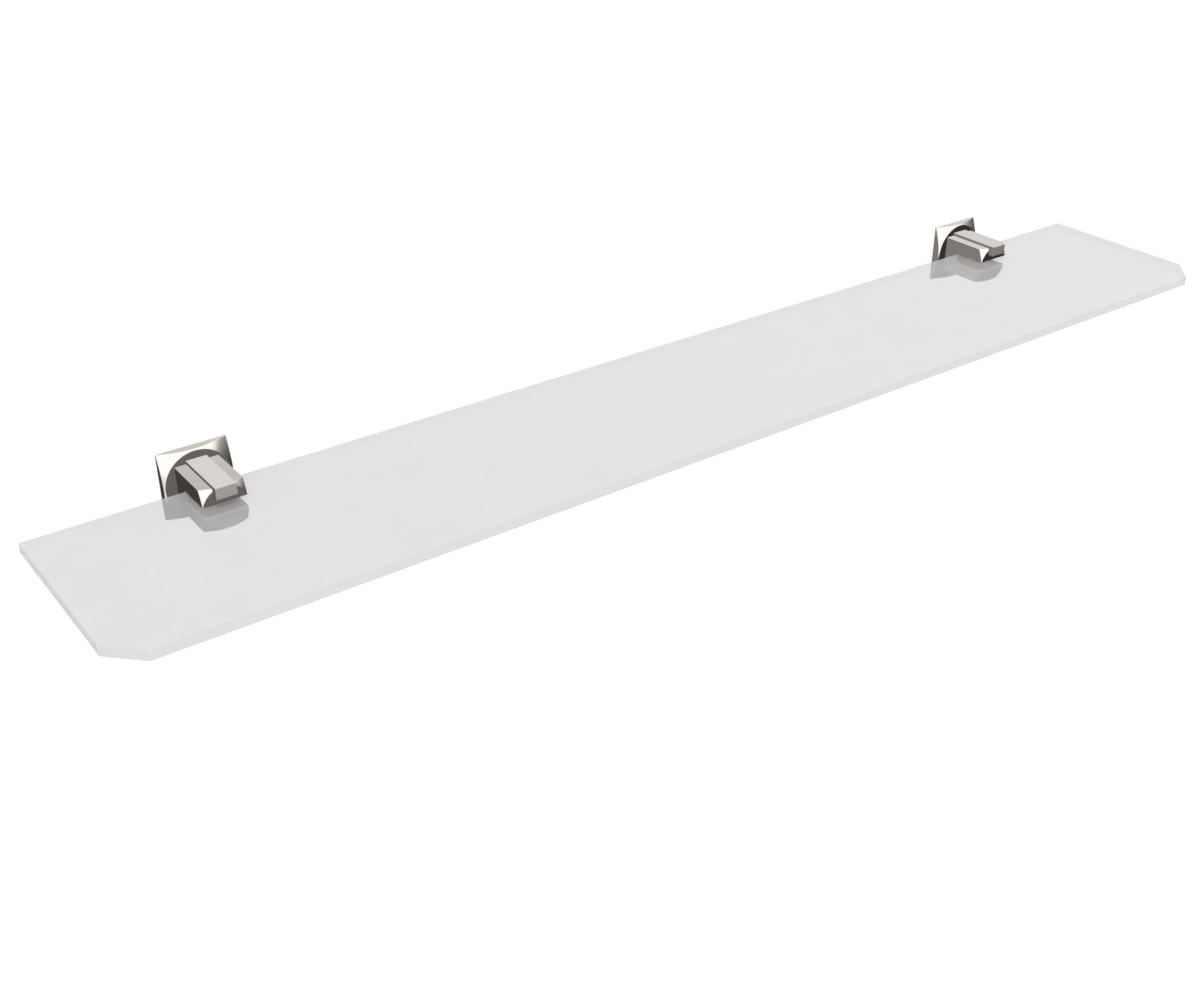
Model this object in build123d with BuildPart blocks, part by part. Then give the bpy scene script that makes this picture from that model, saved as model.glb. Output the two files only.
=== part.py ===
from build123d import *
import math
import os

# Glass wall shelf held by two clamp brackets. Millimetres, +Z up.
# Origin: on the wall, midway between the brackets, at mid-thickness of the glass.
# +X runs along the shelf to the right and +Y points into the wall, so the shelf
# stands out from the wall towards -Y. "Reach" below always means distance from the wall.

# --- glass panel ---
shelf_length = 1000.0
shelf_reach = 180.0  # wall to front edge
glass_back_reach = 21.5  # wall to back edge
glass_thickness = 8.0
corner_clip = 21.6  # 45 degree clip on the two front corners
glass_arris = 0.5  # polished arris along every edge

# --- brackets ---
bracket_spacing = 748.0

# rosette: a square plate whose front is turned to a flat disc with a cone around it
rosette_size = 50.0
rosette_depth = 7.5
rosette_flat_r = 24.0
rosette_corner_depth = 0.8  # what the cone leaves at the four corners
pocket_size = 37.0
pocket_depth = 4.5

# arm: a square bar, slotted for the glass, with a turned cone around its nose
arm_size = 31.5
arm_reach = 50.0
nose_flat_r = 16.0
nose_cone_rise = 1.4  # radius gained per millimetre back from the nose
slot_end_reach = 20.0
slot_height = 8.6
edge_round = 0.25  # what polishing leaves on the outside edges of rosette and arm

# top bar: let into a groove along the top of the arm, proud at the top and the nose
bar_width = 15.0
bar_height = 8.5
bar_proud = 2.5
bar_reach = 55.0
bar_edge_round = 0.12  # crisper than the polished edges

# wall plate, screwed to the wall inside the rosette
plate_size = 36.0
plate_thickness = 4.0
plate_corner_r = 2.0
plate_bevel = 1.0
plate_window_r = 6.5
wall_hole_spacing = 24.0
wall_hole_r = 2.25
wall_hole_sink_r = 4.3

# soft linings of the slot: a sheet over the whole lower jaw, and a let-in pad in the upper jaw
lower_sheet_width = 31.0
lower_sheet_length = 29.0
pad_width = 24.0
pad_length = 22.0
pad_thickness = 1.1
pad_pocket_depth = 0.8
pad_pocket_gap = 0.15
stop_width = 30.5
stop_thickness = 1.5
stop_height = 8.1
stop_top_gap = 0.1

# glass clamp: a swivel foot pushed up by a set screw in the lower jaw
clamp_reach = 35.0
foot_r = 7.0
foot_height = 3.0
foot_chamfer = 0.4
foot_well_r = 7.2
foot_well_floor = 9.3  # below the middle of the glass
foot_hole_in_pad_r = 7.5
clamp_screw_r = 3.0
clamp_screw_length = 6.5
clamp_screw_flats = 3.0
swivel_r = 1.5
swivel_length = 1.3
swivel_socket_depth = 1.5

# fasteners inside the bracket
arm_bolt_r = 3.0
arm_bolt_head_r = 5.75
arm_bolt_length = 13.0
arm_bolt_flats = 4.0
dowel_r = 1.5
dowel_spacing = 20.0
dowel_start_reach = 5.0
dowel_length = 8.0
bar_screw_r = 2.0
bar_screw_head_r = 4.0
bar_screw_length = 10.0
bar_screw_flats = 2.5
lock_screw_r = 2.0
lock_screw_length = 6.0
lock_screw_flats = 2.0
lock_screw_reach = 3.2
lock_screw_point = 0.6  # chamfer on the end that bears on the wall plate

running_gap = 0.05
blind_gap = 0.5  # space past the tip of a screw in a blind hole
turning_margin = 0.5  # stock that a turned blank has past the corners of its square
countersink_angle = 90.0
clearance_hole_extra = 0.2
socket_depth = 2.5

half_arm = arm_size / 2
half_glass = glass_thickness / 2
half_slot = slot_height / 2
bar_top = half_arm + bar_proud
bar_floor = bar_top - bar_height
pad_seat = half_slot + pad_pocket_depth  # backs of the linings, above and below the glass


def write(piece, name):
    piece.part.label = name
    export_step(piece.part, f"parts/{name}.step")


def wall_plane(centre_x, reach=0.0):
    """Plane at a reach from the wall: its x is +X, its y is +Z, and it faces away from the wall."""
    return Plane(origin=(centre_x, -reach, 0), x_dir=(1, 0, 0), z_dir=(0, -1, 0))


def level_plane(centre_x, reach, height, up=True):
    """Level plane at a reach and height, facing up or down."""
    return Plane(origin=(centre_x, -reach, height), x_dir=(1, 0, 0), z_dir=(0, 0, 1 if up else -1))


def turned_blank(centre_x, depth, flat_r, rise, outer_r):
    """What a lathe leaves: a flat disc of flat_r at the given depth, and a cone running back from it."""
    cone_back = depth - (outer_r - flat_r) / rise
    with BuildPart() as blank:
        with BuildSketch(Plane.XY):
            with BuildLine():
                Polyline(
                    (centre_x, 0),
                    (centre_x + outer_r, 0),
                    (centre_x + outer_r, -cone_back),
                    (centre_x + flat_r, -depth),
                    (centre_x, -depth),
                    close=True,
                )
            make_face()
        revolve(axis=Axis((centre_x, 0, 0), (0, 1, 0)))
    return blank.part


def hex_socket(face_plane, flats):
    """Hexagon prism that cuts a socket into the face which the plane lies on."""
    with BuildPart() as socket:
        with BuildSketch(face_plane):
            RegularPolygon(radius=flats / 2, side_count=6, major_radius=False)
        extrude(amount=-socket_depth)
    return socket.part


def countersunk_screw(head_plane, shank_r, head_r, length, flats):
    """A countersunk socket screw: its head lies in head_plane and its shank runs against the plane's normal."""
    head_height = head_r - shank_r
    socket = hex_socket(head_plane, flats)
    with BuildPart() as screw:
        with BuildSketch(head_plane):
            Circle(shank_r)
        extrude(amount=-length)
        with BuildSketch(head_plane):
            Circle(head_r)
        with BuildSketch(head_plane.offset(-head_height)):
            Circle(shank_r)
        loft()
        add(socket, mode=Mode.SUBTRACT)
    return screw


def build_rosette(centre_x):
    """Square escutcheon: turned front, and a pocket in its back that drops over the wall plate."""
    corner_r = rosette_size / 2 * math.sqrt(2)
    cone_rise = (corner_r - rosette_flat_r) / (rosette_depth - rosette_corner_depth)
    blank = turned_blank(centre_x, rosette_depth, rosette_flat_r, cone_rise, corner_r + turning_margin)
    with BuildPart() as rosette:
        with BuildSketch(wall_plane(centre_x)):
            Rectangle(rosette_size, rosette_size)
        extrude(amount=rosette_depth)
        add(blank, mode=Mode.INTERSECT)
        fillet(rosette.edges() - rosette.edges().group_by(Axis.Y)[-1], edge_round)
        with BuildSketch(wall_plane(centre_x)):
            Rectangle(pocket_size, pocket_size)
        extrude(amount=pocket_depth, mode=Mode.SUBTRACT)
        with Locations(Plane(origin=(centre_x, -pocket_depth, 0), x_dir=(1, 0, 0), z_dir=(0, 1, 0))):
            CounterSinkHole(
                radius=arm_bolt_r + clearance_hole_extra,
                counter_sink_radius=arm_bolt_head_r,
                counter_sink_angle=countersink_angle,
            )
        with BuildSketch(wall_plane(centre_x, pocket_depth)):
            with Locations((-dowel_spacing / 2, 0), (dowel_spacing / 2, 0)):
                Circle(dowel_r)
        extrude(amount=rosette_depth - pocket_depth, mode=Mode.SUBTRACT)
        with BuildSketch(level_plane(centre_x, lock_screw_reach, -rosette_size / 2)):
            Circle(lock_screw_r + running_gap)
        extrude(amount=(rosette_size - plate_size) / 2 + blind_gap, mode=Mode.SUBTRACT)
    return rosette


def build_arm(centre_x):
    """Square arm with the glass slot, the groove for the top bar, the pad's pocket, and the screw holes."""
    slot_length = arm_reach - slot_end_reach
    blank = turned_blank(centre_x, arm_reach, nose_flat_r, nose_cone_rise, arm_size)
    with BuildPart() as arm:
        with BuildSketch(wall_plane(centre_x, rosette_depth)):
            Rectangle(arm_size, arm_size)
        extrude(amount=arm_reach - rosette_depth)
        add(blank, mode=Mode.INTERSECT)
        fillet(arm.edges() - arm.edges().group_by(Axis.Y)[-1], edge_round)
        # the slot, deeper below the glass by what the lining of the lower jaw needs
        with BuildSketch(wall_plane(centre_x, slot_end_reach)):
            with Locations((0, half_slot)):
                Rectangle(arm_size, half_slot + pad_seat, align=(Align.CENTER, Align.MAX))
        extrude(amount=slot_length, mode=Mode.SUBTRACT)
        with BuildSketch(wall_plane(centre_x, rosette_depth)):
            with Locations((0, bar_floor)):
                Rectangle(bar_width, bar_height, align=(Align.CENTER, Align.MIN))
        extrude(amount=arm_reach - rosette_depth, mode=Mode.SUBTRACT)
        # pocket for the pad in the upper jaw
        with BuildSketch(level_plane(centre_x, clamp_reach, half_slot)):
            Rectangle(pad_width + 2 * pad_pocket_gap, pad_length + 2 * pad_pocket_gap)
        extrude(amount=pad_pocket_depth, mode=Mode.SUBTRACT)
        # countersunk hole for the bar screw, drilled up through the upper jaw
        with Locations(level_plane(centre_x, clamp_reach, pad_seat, up=False)):
            CounterSinkHole(
                radius=bar_screw_r + clearance_hole_extra,
                counter_sink_radius=bar_screw_head_r,
                depth=bar_floor - pad_seat,
                counter_sink_angle=countersink_angle,
            )
        # well for the clamp foot and the threaded hole below it
        with BuildSketch(level_plane(centre_x, clamp_reach, -half_slot, up=False)):
            Circle(foot_well_r)
        extrude(amount=foot_well_floor - half_slot, mode=Mode.SUBTRACT)
        with BuildSketch(level_plane(centre_x, clamp_reach, -half_slot, up=False)):
            Circle(clamp_screw_r + running_gap)
        extrude(amount=half_arm - half_slot, mode=Mode.SUBTRACT)
        # tapped hole for the arm bolt and the two dowel holes, in the back
        with BuildSketch(wall_plane(centre_x, rosette_depth)):
            Circle(arm_bolt_r)
        extrude(amount=pocket_depth + arm_bolt_length + blind_gap - rosette_depth, mode=Mode.SUBTRACT)
        with BuildSketch(wall_plane(centre_x, rosette_depth)):
            with Locations((-dowel_spacing / 2, 0), (dowel_spacing / 2, 0)):
                Circle(dowel_r)
        extrude(amount=dowel_start_reach + dowel_length + blind_gap - rosette_depth, mode=Mode.SUBTRACT)
    return arm


def build_top_bar(centre_x):
    """Bar let into the top of the arm, with a tapped blind hole in its underside."""
    with BuildPart() as top_bar:
        with BuildSketch(wall_plane(centre_x, rosette_depth)):
            with Locations((0, bar_floor)):
                Rectangle(bar_width, bar_height, align=(Align.CENTER, Align.MIN))
        extrude(amount=bar_reach - rosette_depth)
        fillet(top_bar.edges() - top_bar.edges().group_by(Axis.Y)[-1], bar_edge_round)
        with BuildSketch(level_plane(centre_x, clamp_reach, bar_floor)):
            Circle(bar_screw_r)
        hole_depth = pad_seat + bar_screw_length + blind_gap - bar_floor
        extrude(amount=hole_depth, mode=Mode.SUBTRACT)
    return top_bar


def build_wall_plate(centre_x):
    """Steel plate that carries the bracket: two countersunk wall holes and a window over the arm bolt."""
    with BuildPart() as wall_plate:
        with BuildSketch(wall_plane(centre_x)):
            RectangleRounded(plate_size, plate_size, plate_corner_r)
            Circle(plate_window_r, mode=Mode.SUBTRACT)
        extrude(amount=plate_thickness)
        back_edges = wall_plate.edges().group_by(Axis.Y)[-1]
        chamfer(back_edges.filter_by(GeomType.LINE), plate_bevel)
        with Locations(wall_plane(centre_x, plate_thickness)):
            with Locations((0, -wall_hole_spacing / 2), (0, wall_hole_spacing / 2)):
                CounterSinkHole(
                    radius=wall_hole_r,
                    counter_sink_radius=wall_hole_sink_r,
                    counter_sink_angle=countersink_angle,
                )
    return wall_plate


def build_dowels(centre_x):
    """Two pins that stop the arm turning on the rosette."""
    with BuildPart() as dowels:
        with BuildSketch(wall_plane(centre_x, dowel_start_reach)):
            with Locations((-dowel_spacing / 2, 0), (dowel_spacing / 2, 0)):
                Circle(dowel_r)
        extrude(amount=dowel_length)
    return dowels


def build_upper_lining(centre_x):
    """Pad let into the upper jaw, just proud of it, so that only the pad touches the glass."""
    with BuildPart() as lining:
        with BuildSketch(level_plane(centre_x, clamp_reach, half_glass)):
            Rectangle(pad_width, pad_length)
        extrude(amount=pad_thickness)
    return lining


def build_lower_lining(centre_x):
    """Sheet over the lower jaw, with a hole for the clamp foot; it lies between jaw and glass."""
    with BuildPart() as lining:
        with BuildSketch(level_plane(centre_x, clamp_reach, -half_glass, up=False)):
            Rectangle(lower_sheet_width, lower_sheet_length)
            Circle(foot_hole_in_pad_r, mode=Mode.SUBTRACT)
        extrude(amount=pad_thickness)
    return lining


def build_back_stop(centre_x):
    """Strip at the closed end of the slot that the back edge of the glass rests against."""
    with BuildPart() as back_stop:
        with BuildSketch(wall_plane(centre_x, slot_end_reach)):
            with Locations((0, half_slot - stop_top_gap)):
                Rectangle(stop_width, stop_height, align=(Align.CENTER, Align.MAX))
        extrude(amount=stop_thickness)
    return back_stop


def build_clamp_foot(centre_x):
    """Nylon disc that presses on the glass from below and swivels on the set screw."""
    with BuildPart() as clamp_foot:
        with BuildSketch(level_plane(centre_x, clamp_reach, -half_glass, up=False)):
            Circle(foot_r)
        extrude(amount=foot_height)
        with BuildSketch(level_plane(centre_x, clamp_reach, -half_glass - foot_height)):
            Circle(swivel_r + running_gap)
        extrude(amount=swivel_socket_depth, mode=Mode.SUBTRACT)
        chamfer(clamp_foot.edges().group_by(Axis.Z)[0].sort_by(SortBy.LENGTH)[-1], foot_chamfer)
    return clamp_foot


def build_clamp_screw(centre_x):
    """Set screw in the lower jaw: a swivel nose on top and a hexagon socket below."""
    shoulder = -half_glass - foot_height
    screw_end = level_plane(centre_x, clamp_reach, shoulder - clamp_screw_length, up=False)
    socket = hex_socket(screw_end, clamp_screw_flats)
    with BuildPart() as clamp_screw:
        with BuildSketch(level_plane(centre_x, clamp_reach, shoulder, up=False)):
            Circle(clamp_screw_r)
        extrude(amount=clamp_screw_length)
        with BuildSketch(level_plane(centre_x, clamp_reach, shoulder)):
            Circle(swivel_r)
        extrude(amount=swivel_length)
        add(socket, mode=Mode.SUBTRACT)
    return clamp_screw


def build_lock_screw(centre_x):
    """Set screw in the underside of the rosette; its tip bears on the lower edge of the wall plate."""
    screw_end = level_plane(centre_x, lock_screw_reach, -plate_size / 2 - lock_screw_length, up=False)
    socket = hex_socket(screw_end, lock_screw_flats)
    with BuildPart() as lock_screw:
        with BuildSketch(level_plane(centre_x, lock_screw_reach, -plate_size / 2, up=False)):
            Circle(lock_screw_r)
        extrude(amount=lock_screw_length)
        chamfer(lock_screw.edges().group_by(Axis.Z)[-1], lock_screw_point)
        add(socket, mode=Mode.SUBTRACT)
    return lock_screw


os.makedirs("parts", exist_ok=True)

# glass panel with clipped front corners
with BuildPart() as glass_shelf:
    with BuildSketch(Plane.XY.offset(-half_glass)):
        with BuildLine():
            half_length = shelf_length / 2
            Polyline(
                (-half_length, -glass_back_reach),
                (-half_length, corner_clip - shelf_reach),
                (corner_clip - half_length, -shelf_reach),
                (half_length - corner_clip, -shelf_reach),
                (half_length, corner_clip - shelf_reach),
                (half_length, -glass_back_reach),
                close=True,
            )
        make_face()
    extrude(amount=glass_thickness)
    chamfer(glass_shelf.edges().filter_by(Axis.Z, reverse=True), glass_arris)
write(glass_shelf, "glass_shelf")

for side, centre_x in (("left", -bracket_spacing / 2), ("right", bracket_spacing / 2)):
    write(build_rosette(centre_x), f"{side}_rosette")
    write(build_arm(centre_x), f"{side}_arm")
    write(build_top_bar(centre_x), f"{side}_top_bar")
    write(build_wall_plate(centre_x), f"{side}_wall_plate")
    write(build_dowels(centre_x), f"{side}_dowel_pins")
    write(build_upper_lining(centre_x), f"{side}_upper_lining")
    write(build_lower_lining(centre_x), f"{side}_lower_lining")
    write(build_back_stop(centre_x), f"{side}_back_stop")
    write(build_clamp_foot(centre_x), f"{side}_clamp_foot")
    write(build_clamp_screw(centre_x), f"{side}_clamp_screw")
    write(build_lock_screw(centre_x), f"{side}_lock_screw")
    arm_bolt = countersunk_screw(
        Plane(origin=(centre_x, -pocket_depth, 0), x_dir=(1, 0, 0), z_dir=(0, 1, 0)),
        arm_bolt_r,
        arm_bolt_head_r,
        arm_bolt_length,
        arm_bolt_flats,
    )
    write(arm_bolt, f"{side}_arm_bolt")
    bar_screw = countersunk_screw(
        level_plane(centre_x, clamp_reach, pad_seat, up=False),
        bar_screw_r,
        bar_screw_head_r,
        bar_screw_length,
        bar_screw_flats,
    )
    write(bar_screw, f"{side}_bar_screw")
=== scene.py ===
# %% [markdown]
# # A glass wall shelf on two chromed clamp brackets
#
# The shelf is a metre of satin glass. Two slotted square arms hold it near its ends, and each
# arm stands on a square rosette that hides its wall plate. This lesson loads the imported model
# as a fixed frame, lights it as a studio would, gives every piece the finish of the real one,
# and swaps the plain fasteners for screws with real threads.

import math

import bmesh
import bpy
from mathutils import Matrix, Vector


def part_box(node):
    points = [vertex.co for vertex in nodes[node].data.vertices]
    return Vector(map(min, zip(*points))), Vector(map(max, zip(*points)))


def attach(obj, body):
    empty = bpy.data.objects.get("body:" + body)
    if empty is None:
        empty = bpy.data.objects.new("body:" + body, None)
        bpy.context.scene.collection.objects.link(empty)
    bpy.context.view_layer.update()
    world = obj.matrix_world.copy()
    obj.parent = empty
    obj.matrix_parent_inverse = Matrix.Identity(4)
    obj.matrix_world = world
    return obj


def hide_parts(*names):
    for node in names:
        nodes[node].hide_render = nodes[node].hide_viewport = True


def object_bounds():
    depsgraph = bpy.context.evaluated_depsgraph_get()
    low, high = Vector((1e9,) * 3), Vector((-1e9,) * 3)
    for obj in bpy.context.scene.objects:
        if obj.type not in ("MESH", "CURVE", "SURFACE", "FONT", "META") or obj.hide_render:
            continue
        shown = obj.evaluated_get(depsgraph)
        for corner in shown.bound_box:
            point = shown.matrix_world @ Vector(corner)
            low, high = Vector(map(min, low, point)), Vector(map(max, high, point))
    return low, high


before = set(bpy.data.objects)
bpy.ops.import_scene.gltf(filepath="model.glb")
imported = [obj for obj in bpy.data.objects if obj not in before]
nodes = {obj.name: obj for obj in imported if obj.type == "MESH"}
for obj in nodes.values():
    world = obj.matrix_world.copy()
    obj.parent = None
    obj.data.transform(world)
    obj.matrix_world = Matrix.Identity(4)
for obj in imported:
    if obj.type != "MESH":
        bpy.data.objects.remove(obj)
cad_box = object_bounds()
MM = 0.001
SIDES = ("left", "right")
print("pieces from the frame:", len(nodes))

# %% [markdown]
# ## Camera
#
# The shelf is seen from its left end and a little above, so that the glass runs away into the
# distance and both brackets show their top, side and nose. The lens is slightly long, which
# keeps the metre of glass from looking like a runway. A constraint could keep the camera on its
# target, but nothing here moves while the picture is taken, so it is turned once and left.

# %% Camera
camera_place = Vector((-0.6845, -0.8873, 0.4970))
camera_aim = Vector((-0.1748, -0.1934, 0.0040))
sensor_mm = 36.0
focal_length_mm = 45.35

lens = bpy.data.cameras.new("studio_lens")
lens.sensor_width = sensor_mm
lens.lens = focal_length_mm
lens.clip_start = 0.01
camera = bpy.data.objects.new("studio_camera", lens)
bpy.context.scene.collection.objects.link(camera)
camera.location = camera_place
camera.rotation_mode = "QUATERNION"
camera.rotation_quaternion = (camera_aim - camera_place).to_track_quat("-Z", "Y")
bpy.context.scene.camera = camera
print("camera to aim point, m:", round((camera_aim - camera_place).length, 3))

# %% [markdown]
# ## Small helpers
#
# Colours are written the way a paint chart gives them, as sRGB hex, and Blender wants them
# linear. Every material is a tree of nodes. A function for each kind of node would read nicely
# but there would be dozens, so a single one adds any node with its settings and links. Pattern
# sizes are thought of in millimetres, and a texture wants repeats per metre.


# %% Helpers for colours, nodes and pattern sizes
def linear(hex_colour):
    """Turns an sRGB hex colour such as "c8c8c8" into the linear colour that a shader takes."""
    channels = [int(hex_colour[i : i + 2], 16) / 255 for i in (0, 2, 4)]
    return [c / 12.92 if c <= 0.04045 else ((c + 0.055) / 1.055) ** 2.4 for c in channels] + [1.0]


def add_node(tree, kind, settings=None, links=None):
    """Adds a node: settings are its properties or its sockets' values, links feed its sockets."""
    node = tree.nodes.new(kind)
    for name, value in (settings or {}).items():
        if isinstance(name, str) and hasattr(node, name):
            setattr(node, name, value)
        else:
            node.inputs[name].default_value = value
    for name, source in (links or {}).items():
        tree.links.new(source, node.inputs[name])
    return node


def repeats(size_mm):
    """How many times a pattern of this size repeats in a metre."""
    return 1.0 / (size_mm * MM)


# %% [markdown]
# ## Studio
#
# Chrome has hardly any colour of its own: it shows the room. So the room is built first. It
# could be a set of walls and lamps, but each would have to be moved by hand to change one
# reflection. A sky of light that only the pieces see is smooth, and a direction in it can be
# made lighter or darker with one number. It is dark brown near the ground, passes through grey
# at the horizon and is brightest high up. Soft panels stand in it: a wide window in front and
# above, cut off below by the edge of a table, a reflector low on the left, and dim patches that
# lift the darkest faces. What the camera itself sees past the floor is plain white paper.

# %% The room, from the ground up
scene = bpy.context.scene
scene.view_settings.view_transform = "Standard"

world = bpy.data.worlds.new("studio")
scene.world = world
world.use_nodes = True
room = world.node_tree
room.nodes.clear()


BROWN = (1.0, 0.93, 0.85)
NEUTRAL = (1.0, 0.995, 0.99)
NEUTRAL_FROM = 0.5


def room_light(strength):
    """Light of the room: neutral where it is bright, brown where it is dim."""
    share = min(strength / NEUTRAL_FROM, 1.0)
    tint = [brown + (neutral - brown) * share for brown, neutral in zip(BROWN, NEUTRAL)]
    return [strength * channel for channel in tint] + [1.0]


# degrees above the horizon, and the strength of the light there
light_by_elevation = (
    (-90, 0.04),
    (-30, 0.06),
    (-18, 0.035),
    (-6, 0.12),
    (0, 0.18),
    (6, 0.32),
    (12, 0.50),
    (20, 0.80),
    (26, 0.76),
    (28.5, 0.56),
    (33, 0.60),
    (45, 1.10),
    (60, 1.25),
    (80, 0.75),
    (90, 0.65),
)
direction = add_node(room, "ShaderNodeTexCoord").outputs["Generated"]
upwards = add_node(room, "ShaderNodeSeparateXYZ", links={0: direction}).outputs["Z"]
share = add_node(room, "ShaderNodeMapRange", {"From Min": -1.0}, {"Value": upwards})
sky = add_node(room, "ShaderNodeValToRGB", links={"Fac": share.outputs[0]})
stops = sky.color_ramp.elements
stops.remove(stops[-1])
for i, (elevation, strength) in enumerate(light_by_elevation):
    position = (math.sin(math.radians(elevation)) + 1) / 2
    stop = stops.new(position) if i else stops[0]
    stop.position = position
    stop.color = room_light(strength)
print("steps of light from ground to ceiling:", len(stops))


# %% Soft panels in the room
def soft_step(value, low, high):
    """0 below low, 1 above high, and a smooth rise between."""
    settings = {"interpolation_type": "SMOOTHSTEP", "From Min": low, "From Max": high}
    return add_node(room, "ShaderNodeMapRange", settings, {"Value": value}).outputs[0]


def panel_shape(pan, tilt, full_to, gone_at):
    """A round soft panel: pan is degrees right of straight in front, tilt is degrees up."""
    pan, tilt = math.radians(pan), math.radians(tilt)
    centre = (math.sin(pan) * math.cos(tilt), -math.cos(pan) * math.cos(tilt), math.sin(tilt))
    towards = add_node(
        room, "ShaderNodeVectorMath", {"operation": "DOT_PRODUCT", 1: centre}, {0: direction}
    )
    return soft_step(
        towards.outputs["Value"], math.cos(math.radians(gone_at)), math.cos(math.radians(full_to))
    )


def hang(light, shape, strength):
    """Hangs a panel of this strength in front of the light that is already there."""
    settings = {"data_type": "RGBA", 7: room_light(strength)}
    return add_node(room, "ShaderNodeMix", settings, {0: shape, 6: light}).outputs[2]


table_hides_below = -0.48
table_clear_above = -0.20
above_table = soft_step(upwards, table_hides_below, table_clear_above)
window = panel_shape(pan=-10, tilt=30, full_to=50, gone_at=68)
window_above_table = add_node(
    room, "ShaderNodeMath", {"operation": "MULTIPLY"}, {0: window, 1: above_table}
).outputs[0]
light = sky.outputs["Color"]
light = hang(light, panel_shape(pan=20, tilt=-32, full_to=8, gone_at=26), 0.15)
light = hang(light, panel_shape(pan=-115, tilt=-8, full_to=10, gone_at=40), 0.26)
light = hang(light, panel_shape(pan=135, tilt=-14, full_to=8, gone_at=24), 0.45)
light = hang(light, panel_shape(pan=180, tilt=0, full_to=10, gone_at=30), 0.40)
light = hang(light, window_above_table, 1.25)
light = hang(light, panel_shape(pan=-50, tilt=-22, full_to=12, gone_at=30), 0.95)
studio = add_node(room, "ShaderNodeBackground", links={"Color": light})
paper = add_node(room, "ShaderNodeBackground", {"Color": (1.0, 1.0, 1.0, 1.0)})
seen = add_node(room, "ShaderNodeLightPath").outputs["Is Camera Ray"]
backdrop = add_node(
    room, "ShaderNodeMixShader", links={0: seen, 1: studio.outputs[0], 2: paper.outputs[0]}
)
add_node(room, "ShaderNodeOutputWorld", links={"Surface": backdrop.outputs[0]})
print("nodes in the studio:", len(room.nodes))

# %% [markdown]
# ## Lamps and floor
#
# A shelf on a wall is lit from above. The sky gives most of the light, one large soft lamp adds
# more from straight above, and a small one near the far end lets the glass grow a little lighter
# towards that end. The floor could lie right under the shelf and catch its shadow, but it is far
# below, as it is in a room, so it stays plain. Lamps and floor are kept out of the chrome, which
# would otherwise carry a bright band along every lower face.


# %% Lamps and floor
def hang_lamp(name, kind, energy):
    """A lamp that lights the pieces but is neither seen nor mirrored."""
    data = bpy.data.lights.new(name, kind)
    data.energy = energy
    lamp = bpy.data.objects.new(name, data)
    lamp.visible_camera = False
    lamp.visible_glossy = False
    scene.collection.objects.link(lamp)
    return lamp


overhead = hang_lamp("overhead", "SUN", energy=1.18)
overhead.data.angle = math.radians(50)

far_end_of_glass = Vector((cad_box[1][0], cad_box[0][1] / 2, 0.0))
fill_offset = Vector((0.25, -0.20, 0.60))
fill = hang_lamp("fill", "AREA", energy=0.9)
fill.data.size = 0.4
fill.location = far_end_of_glass + fill_offset
fill.rotation_euler = (-fill_offset).to_track_quat("-Z", "Y").to_euler()

floor_height = -1.3
floor_radius = 14.0
floor_corners = 96
floor_mesh = bpy.data.meshes.new("floor")
disc = bmesh.new()
bmesh.ops.create_circle(disc, cap_ends=True, segments=floor_corners, radius=floor_radius)
disc.to_mesh(floor_mesh)
disc.free()
floor = bpy.data.objects.new("floor", floor_mesh)
floor.location.z = floor_height
floor.visible_glossy = False
scene.collection.objects.link(floor)


# %% [markdown]
# ## A place to start every finish
#
# Each finish below starts the same way: an empty material, and the piece's own coordinates in
# metres. Unwrapped coordinates would do too, but a pattern that fills space has no seams and
# keeps its real size. Because the coordinates are the piece's own, it stays on the piece when
# the piece moves.


# %% Start and end of a finish
def start_finish(name):
    """A new material, its tree, and the piece's own coordinates."""
    material = bpy.data.materials.new(name)
    material.use_nodes = True
    tree = material.node_tree
    tree.nodes.clear()
    where = add_node(tree, "ShaderNodeTexCoord").outputs["Object"]
    return material, tree, where


def noise(tree, where, size_mm, detail=2.0, roughness=0.5):
    """Soft random pattern whose blotches are about this size."""
    settings = {"Scale": repeats(size_mm), "Detail": detail, "Roughness": roughness}
    return add_node(tree, "ShaderNodeTexNoise", settings, {"Vector": where}).outputs["Fac"]


def spread(tree, pattern, low, high):
    """Turns the middle of a pattern, where most of its values lie, into values from low to high."""
    settings = {"From Min": 0.3, "From Max": 0.7, "To Min": low, "To Max": high}
    return add_node(tree, "ShaderNodeMapRange", settings, {"Value": pattern}).outputs[0]


def blend_colours(tree, pattern, low_hex, high_hex):
    """A colour between two hex colours, by the pattern."""
    settings = {"data_type": "RGBA", 6: linear(low_hex), 7: linear(high_hex)}
    return add_node(tree, "ShaderNodeMix", settings, {0: pattern}).outputs[2]


def stretch(tree, where, size_mm):
    """Coordinates for a pattern whose size differs along x, y and z, used with a noise of 1 m."""
    scale = [repeats(size) for size in size_mm]
    return add_node(tree, "ShaderNodeMapping", {"Scale": scale}, {"Vector": where}).outputs[0]


def relief(tree, pattern, depth_mm, strength=1.0, below=None):
    """Bump of this depth, on top of another bump if there is one."""
    links = {"Height": pattern}
    if below is not None:
        links["Normal"] = below
    settings = {"Distance": depth_mm * MM, "Strength": strength}
    return add_node(tree, "ShaderNodeBump", settings, links).outputs[0]


def close_finish(tree, settings, links):
    """Ends a finish with its surface shader."""
    skin = add_node(tree, "ShaderNodeBsdfPrincipled", settings, links)
    add_node(tree, "ShaderNodeOutputMaterial", links={"Surface": skin.outputs[0]})


METRE_MM = 1.0 / MM  # a noise of this size leaves its scale to stretch

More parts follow.
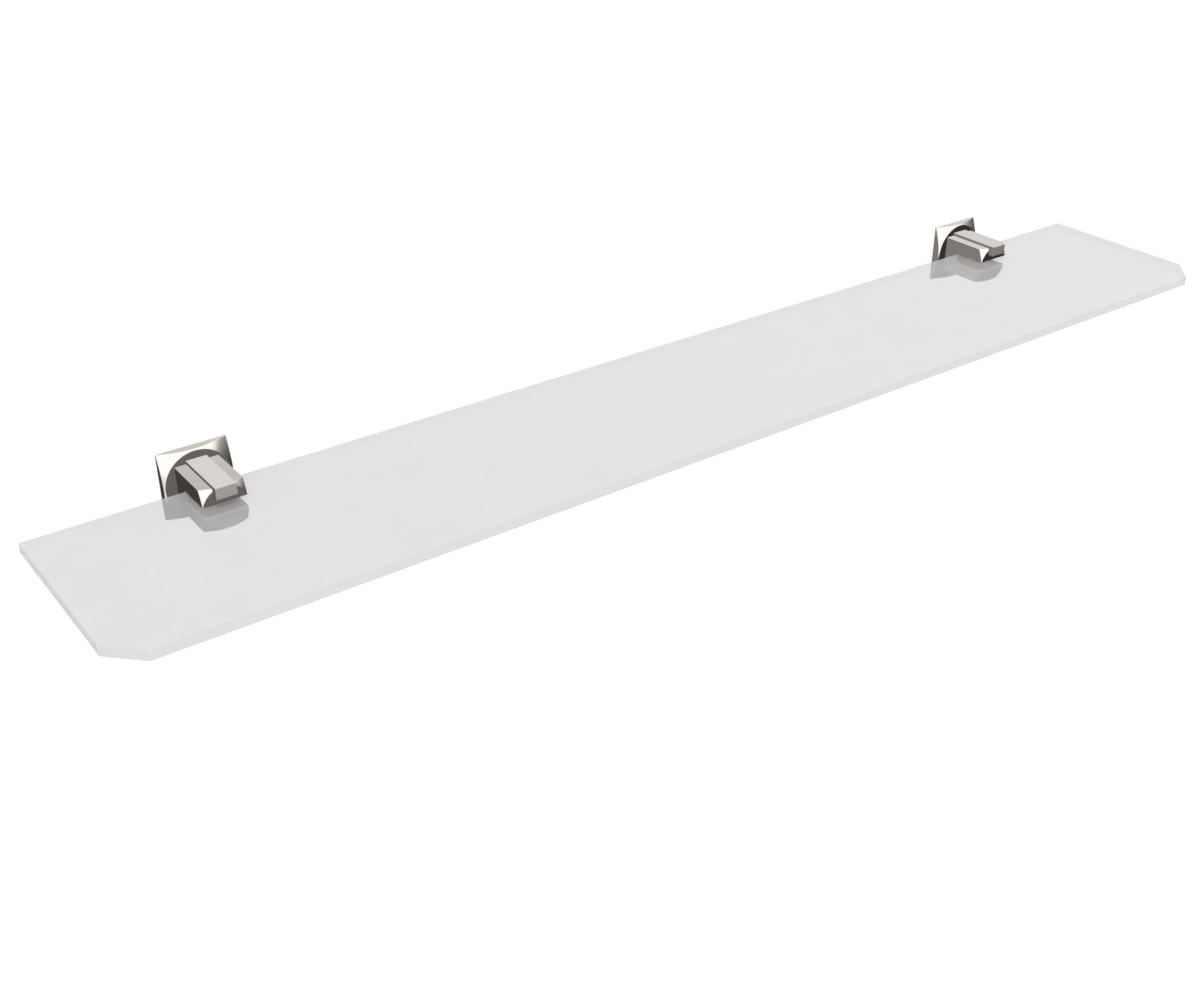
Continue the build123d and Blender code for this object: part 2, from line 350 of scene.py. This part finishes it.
# %% [markdown]
# ## Satin float glass
#
# The shelf is 8 mm float glass whose faces were etched with acid. Etching roughens the skin
# without pits that one can feel, so the glass glows softly and what lies behind it shows as an
# even grey shape. Rough transmission could make this, but it needs many more samples, and
# through two etched faces it blurs even the jaws that are close behind. Here each face lets a
# fixed share of light straight through instead, which keeps their silhouettes crisp. The edges
# were ground and polished, so they are glossier.


# %% Satin float glass
def satin_float_glass():
    material, tree, where = start_finish("satin_float_glass")
    # etching leaves clouds a few centimetres wide and a grain near 0.1 mm, drawn at 0.7 mm to show
    clouds = noise(tree, where, size_mm=45.0, detail=3.0)
    grain = noise(tree, where, size_mm=0.7, detail=1.0)
    # 1 on the two large faces, whose surface points up or down, and 0 on the edges
    surface = add_node(tree, "ShaderNodeTexCoord").outputs["Normal"]
    upright = add_node(tree, "ShaderNodeSeparateXYZ", links={0: surface}).outputs["Z"]
    level = add_node(tree, "ShaderNodeMath", {"operation": "ABSOLUTE"}, {0: upright}).outputs[0]
    face = spread(tree, level, 0.0, 1.0)
    body = blend_colours(tree, clouds, "b4b2b4", "bbb9bb")
    colour = add_node(
        tree, "ShaderNodeMix", {"data_type": "RGBA", 6: linear("c7c8c6")}, {0: face, 7: body}
    ).outputs[2]
    etched = spread(tree, grain, 0.27, 0.35)
    roughness = add_node(tree, "ShaderNodeMix", {2: 0.14}, {0: face, 3: etched}).outputs[0]
    close_finish(
        tree,
        {
            "IOR": 1.52,
            "Specular IOR Level": 1.0,
            "Sheen Weight": 0.15,
            "Sheen Roughness": 0.5,
            "Alpha": 0.41,
        },
        {
            "Base Color": colour,
            "Roughness": roughness,
            "Normal": relief(tree, grain, depth_mm=0.002, strength=0.25),
        },
    )
    return material


# %% [markdown]
# ## Polished chrome plate
#
# Rosettes and arms are brass, turned or milled, buffed on a cloth wheel and plated with nickel
# and a very thin coat of chrome. The plate is a mirror, a touch warm in this light, and what
# tells it from a perfect one is the wheel's work: long shallow waves, and hairlines that run
# around the turned rosette and along the arm. Anisotropy would stretch the reflections in the
# same way, but on a surface this smooth it hardly shows, so the hairlines are a fine relief.


# %% Polished chrome plate
def chrome_mirror(tree, where, hairlines):
    # the wheel's waves are about 9 mm long, and what wiping leaves behind is a little wider
    waves = noise(tree, where, size_mm=9.0, detail=0.0)
    smudges = noise(tree, where, size_mm=14.0, detail=4.0, roughness=0.6)
    wavy = relief(tree, waves, depth_mm=0.02, strength=0.5)
    close_finish(
        tree,
        {"Base Color": linear("ece7e3"), "Metallic": 1.0},
        {
            "Roughness": spread(tree, smudges, 0.05, 0.09),
            "Normal": relief(tree, hairlines, depth_mm=0.0015, strength=0.5, below=wavy),
        },
    )


def chrome_on_turned_rosette(side):
    """Hairlines run in rings about the rosette's own axis."""
    material, tree, where = start_finish(f"polished_chrome_{side}_rosette")
    low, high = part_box(f"{side}_rosette")
    axis = ((low[0] + high[0]) / 2, 0.0, 0.0)
    across = add_node(
        tree, "ShaderNodeVectorMath", {"operation": "SUBTRACT", 1: axis}, {0: where}
    ).outputs[0]
    flat = add_node(
        tree, "ShaderNodeVectorMath", {"operation": "MULTIPLY", 1: (1, 0, 1)}, {0: across}
    ).outputs[0]
    radius = add_node(
        tree, "ShaderNodeVectorMath", {"operation": "LENGTH"}, {0: flat}
    ).outputs["Value"]
    # a polishing cloth leaves lines finer than 0.1 mm; at 0.4 mm they just show in a close view
    rings = add_node(
        tree, "ShaderNodeTexNoise", {"noise_dimensions": "1D", "Scale": repeats(0.4)}, {"W": radius}
    ).outputs["Fac"]
    chrome_mirror(tree, where, rings)
    return material


def chrome_on_buffed_arm():
    """Hairlines run along the arm, away from the wall."""
    material, tree, where = start_finish("polished_chrome_arm")
    # as far apart as on the rosette, and about 14 mm long
    lines = noise(tree, stretch(tree, where, (0.4, 14.0, 0.4)), METRE_MM, detail=1.0)
    chrome_mirror(tree, where, lines)
    return material


# %% [markdown]
# ## Satin chrome bar
#
# The bar on top of each arm was brushed lengthwise on a belt before plating, and the plate
# copies the brush marks. They spread each reflection, so the bar's top and nose look evenly
# light where the mirror beside them is dark. Most of the spreading is left to roughness and only
# a trace to relief, because marks this fine would sparkle as relief alone.


# %% Satin chrome bar
def satin_chrome_bar():
    material, tree, where = start_finish("satin_chrome_bar")
    # a fine belt leaves lines about 0.1 mm apart; drawn at 0.25 mm
    lines = noise(tree, stretch(tree, where, (0.25, 16.0, 0.25)), METRE_MM, detail=2.0)
    close_finish(
        tree,
        {"Base Color": linear("f1edea"), "Metallic": 1.0},
        {
            "Roughness": spread(tree, lines, 0.34, 0.44),
            "Normal": relief(tree, lines, depth_mm=0.004, strength=0.6),
        },
    )
    return material


# %% [markdown]
# ## Zinc-plated wall plate
#
# The wall plates are punched from steel strip and bright zinc plated. Zinc is bluer and duller
# than chrome, shows the rolling marks of the strip below it, and the clear passivation on top
# drifts between blue and straw yellow in patches. A thin film could give those colours by
# physics, but two hex colours and a noise say the same and are easier to keep faint.


# %% Zinc-plated steel
def zinc_plated_steel():
    material, tree, where = start_finish("zinc_plated_steel")
    patches = noise(tree, where, size_mm=8.0, detail=3.0)
    # rolling marks are about 9 mm long and 0.1 mm wide; drawn 0.5 mm wide
    rolled = noise(tree, stretch(tree, where, (9.0, 0.5, 0.5)), METRE_MM, detail=2.0)
    close_finish(
        tree,
        {"Metallic": 1.0},
        {
            "Base Color": blend_colours(tree, spread(tree, patches, 0, 1), "b4bcc6", "c9c6b8"),
            "Roughness": spread(tree, rolled, 0.28, 0.42),
            "Normal": relief(tree, rolled, depth_mm=0.006, strength=0.5),
        },
    )
    return material


# %% [markdown]
# ## Stainless screws
#
# Screws and dowels are A2 stainless steel. Their heads are cold formed and their threads
# rolled, then tumbled, which leaves them a little darker than chrome and evenly fine-grained.
# The grain has no direction, so a plain noise serves, and one finish does for every screw.


# %% Tumbled stainless steel
def tumbled_stainless():
    material, tree, where = start_finish("tumbled_stainless")
    # tumbling marks are about 0.1 mm long; drawn at 0.25 mm
    marks = noise(tree, where, size_mm=0.25, detail=2.0)
    stains = noise(tree, where, size_mm=2.5, detail=2.0)
    close_finish(
        tree,
        {"Metallic": 1.0},
        {
            "Base Color": blend_colours(tree, spread(tree, stains, 0, 1), "a8a5a0", "b9b7b3"),
            "Roughness": spread(tree, marks, 0.22, 0.36),
            "Normal": relief(tree, marks, depth_mm=0.003, strength=0.5),
        },
    )
    return material


# %% [markdown]
# ## Soft linings and clamp feet
#
# Glass must not touch metal. Both jaws are lined with grey soft PVC sheet, calendered with a
# matt grain, and a strip of the same stuff stops the back edge. The PVC's grey is painted
# lighter than the sheet's own grey, as painted light that makes up for the shade in the slot
# between the jaws. The foot that the clamp screw pushes up is moulded from nylon, a slightly
# deeper grey, a little glossier and waxy. Nylon lets light in a little way, and subsurface
# scattering shows that; PVC this thin needs none.


# %% Grey PVC and grey nylon
def grey_pvc_with_painted_light():
    material, tree, where = start_finish("grey_pvc_with_painted_light")
    # the matt roller's grain is about 0.5 mm
    grain = noise(tree, where, size_mm=0.5, detail=2.0)
    close_finish(
        tree,
        {"IOR": 1.53},
        {
            # painted light: this grey is lifted above the sheet's own grey to stand in for light
            # that the shaded slot between the jaws does not get; the grain in it is real
            "Base Color": blend_colours(tree, grain, "a19e9b", "adaaa7"),
            "Roughness": spread(tree, grain, 0.5, 0.65),
            "Normal": relief(tree, grain, depth_mm=0.03, strength=0.5),
        },
    )
    return material


def smoke_grey_nylon():
    material, tree, where = start_finish("smoke_grey_nylon")
    flow = noise(tree, where, size_mm=4.0, detail=2.0)
    # a spark-eroded mould leaves pits of 0.1 mm; drawn at 0.4 mm
    pits = noise(tree, where, size_mm=0.4, detail=1.0)
    close_finish(
        tree,
        {"IOR": 1.53, "Subsurface Weight": 0.2, "Subsurface Scale": 1.0 * MM},
        {
            "Base Color": blend_colours(tree, flow, "96938f", "a3a09c"),
            "Roughness": spread(tree, flow, 0.38, 0.5),
            "Normal": relief(tree, pits, depth_mm=0.01, strength=0.4),
        },
    )
    return material


# %% [markdown]
# ## Floor paint
#
# The floor is matt pale paint with a faint roller texture. A white sheet with no texture would
# be as quiet, but it would look like a hole in a close view.


# %% Floor paint
def pale_floor_paint():
    material, tree, where = start_finish("pale_floor_paint")
    stipple = noise(tree, where, size_mm=6.0, detail=2.0)
    close_finish(
        tree,
        {"IOR": 1.5, "Roughness": 0.9},
        {
            "Base Color": blend_colours(tree, stipple, "dfdfde", "e3e3e2"),
            "Normal": relief(tree, stipple, depth_mm=0.3, strength=0.3),
        },
    )
    return material


floor_mesh.materials.append(pale_floor_paint())

# %% [markdown]
# ## Put the finishes on the pieces
#
# A finish could be given to each node by its full name. But a name ends with what the piece is,
# so one table from that word to a finish serves both brackets. Each rosette has a finish of its
# own, because its rings need its own centre.

# %% Put the finishes on the pieces
arm_chrome = chrome_on_buffed_arm()
stainless = tumbled_stainless()
# the linings and back stop share one PVC finish whose grey is painted lighter, as painted light
# against the shade in the slot
lining_with_painted_light = grey_pvc_with_painted_light()
finish_of = {
    "glass_shelf": satin_float_glass(),
    "arm": arm_chrome,
    "top_bar": satin_chrome_bar(),
    "wall_plate": zinc_plated_steel(),
    "dowel_pins": stainless,
    "clamp_screw": stainless,
    "lock_screw": stainless,
    "arm_bolt": stainless,
    "bar_screw": stainless,
    "upper_lining": lining_with_painted_light,
    "lower_lining": lining_with_painted_light,
    "back_stop": lining_with_painted_light,
    "clamp_foot": smoke_grey_nylon(),
}
for side in SIDES:
    finish_of[f"{side}_rosette"] = chrome_on_turned_rosette(side)
for name, piece in nodes.items():
    kind = name if name in finish_of else name.split("_", 1)[1]
    piece.data.materials.clear()
    piece.data.materials.append(finish_of[kind])
    # the chrome mirrors the studio and not the pieces beside it
    piece.visible_glossy = False
print("finishes:", len({material.name for material in finish_of.values()}))


# %% [markdown]
# ## Threaded screws
#
# In the frame a screw has its outer shape and a hexagon socket, but no thread. The real ones
# have a rolled metric thread, and it shows wherever a screw is backed out. A thread could be a
# profile swept by the Screw modifier and joined to its core with a boolean, which often leaves
# stray faces. So a screw is a stack of rings instead: every ring has the same number of corners,
# a thread is only a radius that changes with height and angle together, a socket is a ring of
# hexagon shape, and the stack is closed. It is drawn with its head at the top, then turned and
# moved to where the frame has it.

# %% Rings, threads and sockets
RING_CORNERS = 48  # a multiple of six, so that socket corners fall on ring corners
ROWS_PER_TURN = 10
THREAD_DEPTH = 0.6134  # depth of a metric thread, in pitches
CREST_WIDTH = 1 / 6  # flat top of the thread, in pitches
FLANK_WIDTH = 1 / 3  # each sloping side of the thread, in pitches
SOCKET_DEPTH = 2.5
SOCKET_CHAMFER = 0.15
DRILL_CONE = 0.6  # height of the cone that a drill leaves under a socket
CONE_SHOULDER = 0.3  # share of that height down to the cone's shoulder
SHOULDER_RADIUS = 0.4  # radius of the shoulder, in widths across the flats


def round_ring(radius, height):
    """Corners of a circle at this height, each as a radius and a height."""
    return [(radius, height)] * RING_CORNERS


def hexagon_ring(flats, height):
    """Corners along a hexagon with this width across its flats."""
    ring = []
    for corner in range(RING_CORNERS):
        from_flat = math.radians(corner * 360 / RING_CORNERS % 60 - 30)
        ring.append((flats / 2 / math.cos(from_flat), height))
    return ring


def thread_rings(radius, pitch, start, end):
    """Rings up a rolled metric thread, from start up to end, faded into the core at both ends."""
    depth = THREAD_DEPTH * pitch
    core = radius - depth
    rows = round((end - start) / pitch * ROWS_PER_TURN)
    rings = []
    for row in range(rows + 1):
        height = start + (end - start) * row / rows
        fade = min(height - start, end - height, depth)
        ring = []
        for corner in range(RING_CORNERS):
            turn = (height / pitch - corner / RING_CORNERS) % 1.0
            up_the_flank = (CREST_WIDTH / 2 + FLANK_WIDTH - abs(turn - 0.5)) / FLANK_WIDTH
            crest = min(max(up_the_flank, 0.0), 1.0)
            ring.append((core + min(crest * depth, fade), height))
        rings.append(ring)
    return rings


def socket_rings(head_radius, flats):
    """The face at height 0, its hexagon socket and the drill cone under it."""
    return [
        round_ring(head_radius, 0.0),
        hexagon_ring(flats + 2 * SOCKET_CHAMFER, 0.0),
        hexagon_ring(flats, -SOCKET_CHAMFER),
        hexagon_ring(flats, -SOCKET_DEPTH),
        round_ring(flats * SHOULDER_RADIUS, -SOCKET_DEPTH - DRILL_CONE * CONE_SHOULDER),
    ]


def stack_mesh(rings):
    """Joins the rings in their order and closes both ends with a fan to a point."""
    mesh = bmesh.new()
    layers = []
    for ring in rings:
        layer = []
        for corner, (radius, height) in enumerate(ring):
            angle = 2 * math.pi * corner / RING_CORNERS
            point = Vector((radius * math.cos(angle), radius * math.sin(angle), height))
            layer.append(mesh.verts.new(point * MM))
        layers.append(layer)
    for lower, upper in zip(layers, layers[1:]):
        for i in range(RING_CORNERS):
            j = (i + 1) % RING_CORNERS
            mesh.faces.new((lower[i], lower[j], upper[j], upper[i]))
    tip_height = rings[0][0][1]
    cone_height = rings[-1][0][1] - DRILL_CONE * (1 - CONE_SHOULDER)
    tip = mesh.verts.new((0, 0, tip_height * MM))
    bottom = mesh.verts.new((0, 0, cone_height * MM))
    for i in range(RING_CORNERS):
        j = (i + 1) % RING_CORNERS
        mesh.faces.new((tip, layers[0][j], layers[0][i]))
        mesh.faces.new((bottom, layers[-1][i], layers[-1][j]))
    for face in mesh.faces:
        face.smooth = True
    return mesh


# %% [markdown]
# ## Set screws and countersunk screws
#
# Two kinds are needed. A set screw is threaded all along and has its socket in the same
# cylinder; the one in the clamp also has a plain pin on its nose, on which the foot swivels. A
# countersunk screw widens at 45 degrees into its head. Lengths and head sizes are measured
# from the frame, and each screw has the pitch and the key of its standard size.
# All sizes here are in millimetres.


# %% Set screws and countersunk screws
M4 = {"radius": 2.0, "pitch": 0.7}
M6 = {"radius": 3.0, "pitch": 1.0}
PIN_CHAMFER = 0.15
FACE_MARGIN = 0.02  # what keeps the end face just inside the thread's core
HEAD_LAND = 0.25  # straight part of a countersunk head's rim
HEAD_CHAMFER = 0.08
PLAIN_NECK = 0.5  # unthreaded stretch under a countersunk head


def set_screw_rings(radius, pitch, flats, length, pin_radius=0.0, pin_length=0.0):
    """Threaded all along; heights run from minus length to 0, where the socket is."""
    rings = []
    start = pin_length - length
    if pin_radius:
        rings.append(round_ring(pin_radius - PIN_CHAMFER, -length))
        rings.append(round_ring(pin_radius, PIN_CHAMFER - length))
        rings.append(round_ring(pin_radius, start))
    rings += thread_rings(radius, pitch, start, 0.0)
    return rings + socket_rings(radius - THREAD_DEPTH * pitch - FACE_MARGIN, flats)


def countersunk_rings(radius, pitch, flats, length, head_radius):
    """Threaded up to the 45 degree head, whose rim has a narrow land."""
    head_start = -(head_radius - radius) - HEAD_LAND
    rings = thread_rings(radius, pitch, -length, head_start - PLAIN_NECK)
    rings.append(round_ring(radius, head_start))
    rings.append(round_ring(head_radius, -HEAD_LAND))
    rings.append(round_ring(head_radius, -HEAD_CHAMFER))
    return rings + socket_rings(head_radius - HEAD_CHAMFER, flats)


SHARP_FROM = math.radians(35)


def fit_screw(name, node, body, rings, faces):
    """Turns the stack so that its head faces this way, and puts the head where the frame has it."""
    low, high = Vector(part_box(node)[0]), Vector(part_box(node)[1])
    middle = (low + high) / 2
    reach = (high - low) / 2
    head = middle + Vector([way * size for way, size in zip(faces, reach)])
    mesh = stack_mesh(rings)
    turned = Vector((0, 0, 1)).rotation_difference(Vector(faces)).to_matrix().to_4x4()
    bmesh.ops.transform(mesh, matrix=Matrix.Translation(head) @ turned, verts=mesh.verts)
    bmesh.ops.recalc_face_normals(mesh, faces=mesh.faces)
    data = bpy.data.meshes.new(name)
    mesh.to_mesh(data)
    mesh.free()
    data.set_sharp_from_angle(angle=SHARP_FROM)
    data.materials.append(stainless)
    piece = bpy.data.objects.new(name, data)
    scene.collection.objects.link(piece)
    piece.visible_glossy = False
    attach(piece, body)
    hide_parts(node)
    print(name, "faces:", len(data.polygons))


# %% Fit the screws to both brackets
DOWN = (0, 0, -1)
TO_WALL = (0, 1, 0)
SWIVEL_PIN = {"pin_radius": 1.5, "pin_length": 1.3}


def spans_mm(node):
    """The node's width, depth and height in millimetres."""
    low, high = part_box(node)
    return [(high[axis] - low[axis]) / MM for axis in range(3)]


for side in SIDES:
    node = f"{side}_clamp_screw"
    width, depth, length = spans_mm(node)
    rings = set_screw_rings(**M6, flats=3.0, length=length, **SWIVEL_PIN)
    fit_screw(f"{side}_clamp_set_screw", node, node, rings, DOWN)
    node = f"{side}_lock_screw"
    width, depth, length = spans_mm(node)
    rings = set_screw_rings(**M4, flats=2.0, length=length)
    fit_screw(f"{side}_lock_set_screw", node, node, rings, DOWN)
    node = f"{side}_arm_bolt"
    width, length, depth = spans_mm(node)
    rings = countersunk_rings(**M6, flats=4.0, length=length, head_radius=width / 2)
    fit_screw(f"{side}_arm_countersunk_bolt", node, "brackets", rings, TO_WALL)
    node = f"{side}_bar_screw"
    width, depth, length = spans_mm(node)
    rings = countersunk_rings(**M4, flats=2.5, length=length, head_radius=width / 2)
    fit_screw(f"{side}_bar_countersunk_screw", node, "brackets", rings, DOWN)
